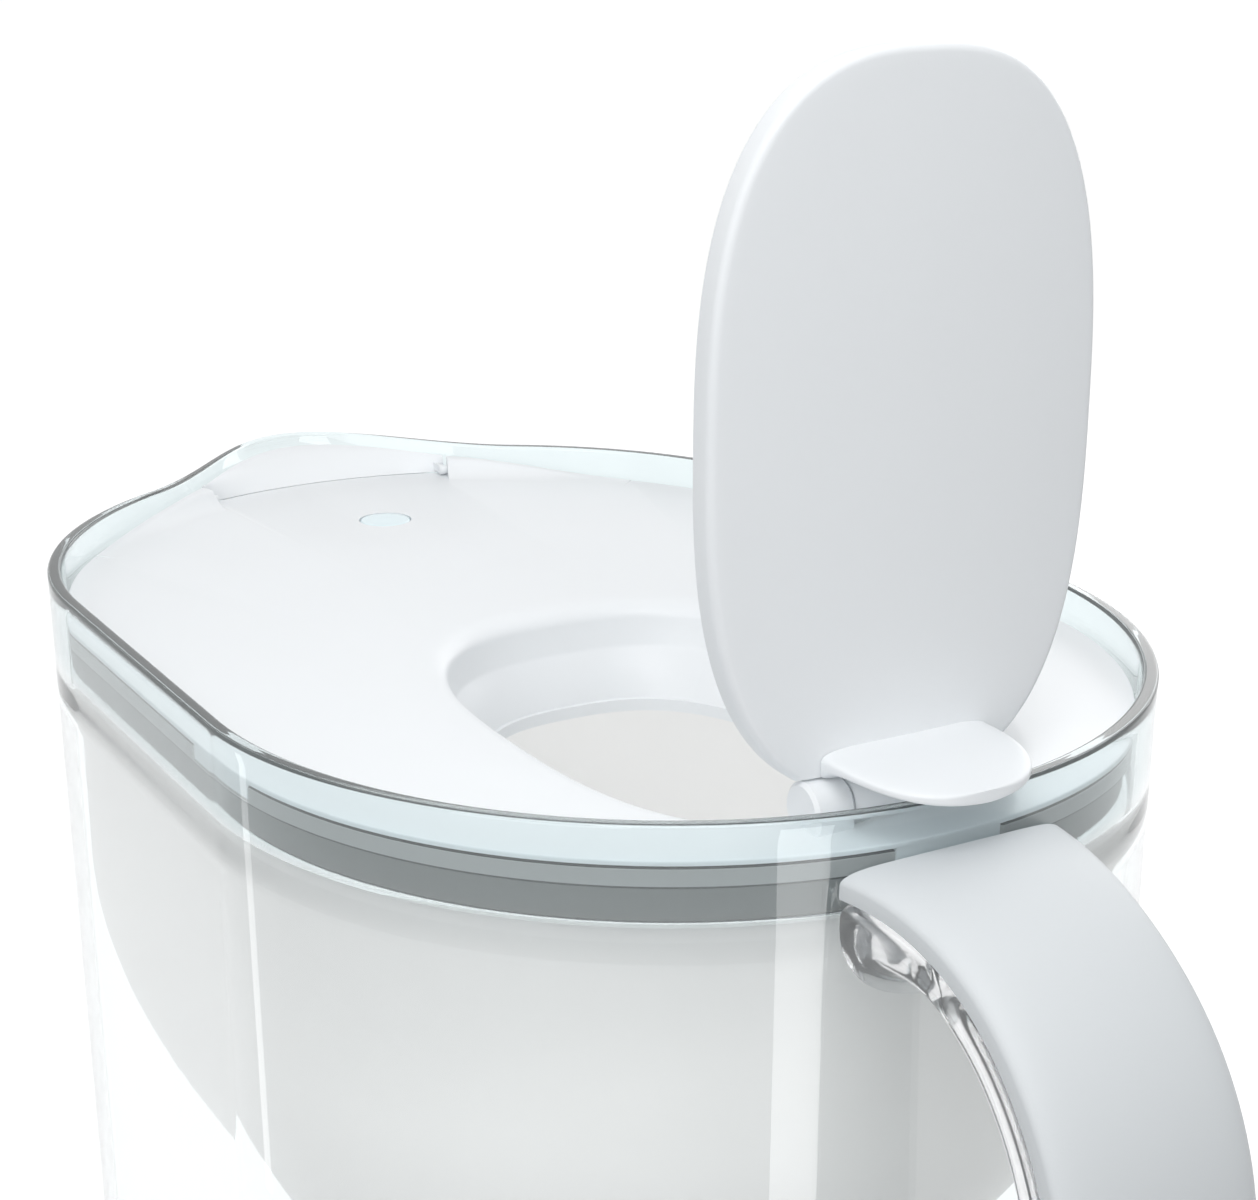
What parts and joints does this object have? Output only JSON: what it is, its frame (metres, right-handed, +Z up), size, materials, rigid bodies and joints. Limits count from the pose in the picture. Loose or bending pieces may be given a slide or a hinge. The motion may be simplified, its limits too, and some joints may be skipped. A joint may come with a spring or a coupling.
{
  "type": "water filter pitcher",
  "caption": "Clear oval water filter jug with a loop handle, lift-out hopper with a filter cartridge, and a white lid with a flip-up filling cover and a spout flap.",
  "frame": {"origin": "centre of the foot, on the face that the jug stands on", "axes": "+Z up, +X towards the handle, -X towards the pouring beak, the XZ plane is the plane of symmetry"},
  "size_m": [0.2673, 0.1452, 0.3483],
  "materials": {
    "clear_plastic": "clear, polished",
    "hopper_plastic": "milky white",
    "grip_white": "soft satin",
    "lid_white": "satin",
    "indicator_lens": "satin, slightly translucent",
    "housing_plastic": "moulded",
    "seal_rubber": "matt",
    "board_green": "solder mask",
    "switch_black": "moulded",
    "led_body": "clear",
    "cell_steel": "brushed",
    "clip_metal": "plated",
    "cartridge_white": "moulded",
    "screen_grey": "woven mesh",
    "media_dark": "granules"
  },
  "bodies": {
    "jug": {"jug_body": "clear_plastic", "handle_core": "clear_plastic", "handle_grip": "grip_white", "hopper": "hopper_plastic", "lid_cover": "lid_white", "indicator_housing": "housing_plastic", "housing_cover": "housing_plastic", "housing_seal": "seal_rubber", "circuit_board": "board_green", "tact_switch": "switch_black", "indicator_led": "led_body", "coin_cell": "cell_steel", "cell_clip": "clip_metal", "cartridge_shell": "cartridge_white", "cartridge_cap": "cartridge_white", "pull_ring": "cartridge_white", "inlet_screen": "screen_grey", "filter_media": "media_dark", "outlet_screen": "screen_grey", "seat_seal": "seal_rubber"},
    "filling_flap": {"flip_lid": "lid_white"},
    "spout": {"spout_flap": "lid_white"},
    "button": {"indicator_button": "indicator_lens"}
  },
  "joints": [
    {"name": "flip_lid_hinge", "type": "hinge", "parent": "jug", "child": "filling_flap", "pos_m": [0.09094, 0, 0.2547], "axis": [0, 1, 0], "range_deg": [-90, 0]},
    {"name": "spout_flap_hinge", "type": "hinge", "parent": "jug", "child": "spout", "pos_m": [-0.0965, 0, 0.2536], "axis": [0, 1, 0], "range_deg": [0, 60]},
    {"name": "indicator_press", "type": "slide", "parent": "jug", "child": "button", "axis": [0, 0, -1], "range_m": [0, 0.0006], "stiffness_N_per_m": 800}
  ]
}
